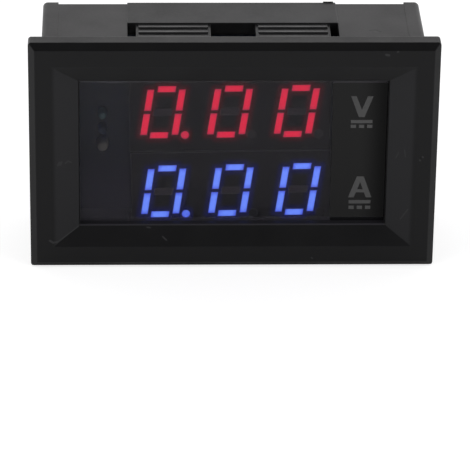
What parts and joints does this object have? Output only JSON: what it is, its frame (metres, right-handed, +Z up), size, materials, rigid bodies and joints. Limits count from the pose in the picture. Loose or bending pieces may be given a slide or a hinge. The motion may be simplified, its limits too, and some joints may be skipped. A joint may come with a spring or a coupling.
{
  "type": "digital panel meter",
  "caption": "Snap-in panel meter with a dark window over red and blue seven-segment rows, an open-backed housing, a circuit board with two trimmers, and white wire headers.",
  "frame": {"origin": "centre of the panel seating plane, which is the back of the bezel", "axes": "+X to the right of the reader, +Y from the panel seat towards the back, +Z up"},
  "size_m": [0.048, 0.021, 0.029],
  "materials": {
    "black_moulding": "satin black moulded plastic",
    "tinted_window": "smoked clear plastic, glossy",
    "display_black": "matt black",
    "red_segments": "cast resin, lit red",
    "blue_segments": "cast resin, lit blue",
    "tinned_metal": "tin plated",
    "board_blue": "blue solder mask over glass laminate",
    "package_black": "moulded epoxy",
    "capacitor_orange": "moulded resin",
    "chip_black": "glazed",
    "chip_tan": "sintered ceramic",
    "shunt_alloy": "drawn resistance wire",
    "trimmer_ceramic": "white ceramic",
    "rotor_metal": "stamped metal",
    "header_white": "natural nylon"
  },
  "bodies": {
    "meter": {"housing": "black_moulding", "window_lens": "tinted_window", "voltage_display_shell": "display_black", "voltage_display_segments": "red_segments", "voltage_display_pins": "tinned_metal", "current_display_shell": "display_black", "current_display_segments": "blue_segments", "current_display_pins": "tinned_metal", "circuit_board": "board_blue", "microcontroller": "package_black", "microcontroller_leads": "tinned_metal", "amplifier": "package_black", "amplifier_leads": "tinned_metal", "regulator": "package_black", "regulator_leads": "tinned_metal", "diode": "package_black", "diode_leads": "tinned_metal", "input_capacitor": "capacitor_orange", "input_capacitor_leads": "tinned_metal", "chip_resistors": "chip_black", "chip_capacitors": "chip_tan", "chip_end_caps": "tinned_metal", "shunt_wire": "shunt_alloy", "voltage_trimmer_base": "trimmer_ceramic", "voltage_trimmer_terminals": "tinned_metal", "current_trimmer_base": "trimmer_ceramic", "current_trimmer_terminals": "tinned_metal", "signal_header_shroud": "header_white", "signal_header_pins": "tinned_metal", "load_header_shroud": "header_white", "load_header_pins": "tinned_metal"},
    "voltage_rotor": {"voltage_trimmer_rotor": "rotor_metal"},
    "current_rotor": {"current_trimmer_rotor": "rotor_metal"}
  },
  "joints": [
    {"name": "voltage_trim", "type": "hinge", "parent": "meter", "child": "voltage_rotor", "pos_m": [-0.0156, 0.0105, 0.008], "axis": [0, 1, 0], "range_deg": [-130, 130]},
    {"name": "current_trim", "type": "hinge", "parent": "meter", "child": "current_rotor", "pos_m": [0.0136, 0.0105, 0.0076], "axis": [0, 1, 0], "range_deg": [-130, 130]}
  ]
}
